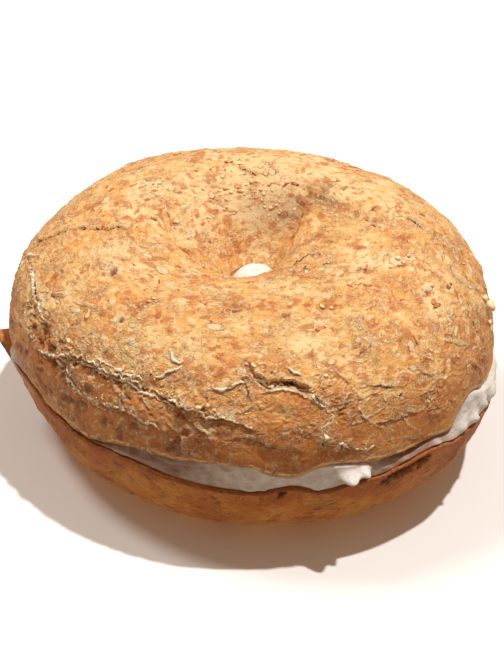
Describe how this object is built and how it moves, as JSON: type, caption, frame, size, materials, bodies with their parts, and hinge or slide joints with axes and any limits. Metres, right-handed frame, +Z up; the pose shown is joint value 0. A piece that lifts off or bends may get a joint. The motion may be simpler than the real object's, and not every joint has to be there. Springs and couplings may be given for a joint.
{
  "type": "filled bagel",
  "caption": "Round wholewheat bread ring split level and filled with cream cheese, which bulges at the side and up into the hole.",
  "frame": {"origin": "middle of the object's box, on the surface that it stands on", "axes": "+Z up out of the hole, -Y towards the side that the picture shows, +X to the right of it"},
  "size_m": [0.1087, 0.1073, 0.0478],
  "materials": {
    "crust": "golden-tan baked wholewheat crust, flecked with bran, slightly satin",
    "under_crust": "smooth brown baked underside crust, matt",
    "cream_cheese": "soft white cream cheese, moist and slightly shiny"
  },
  "bodies": {
    "root": {"crown": "crust", "heel": "under_crust", "cream_cheese": "cream_cheese"}
  },
  "joints": []
}
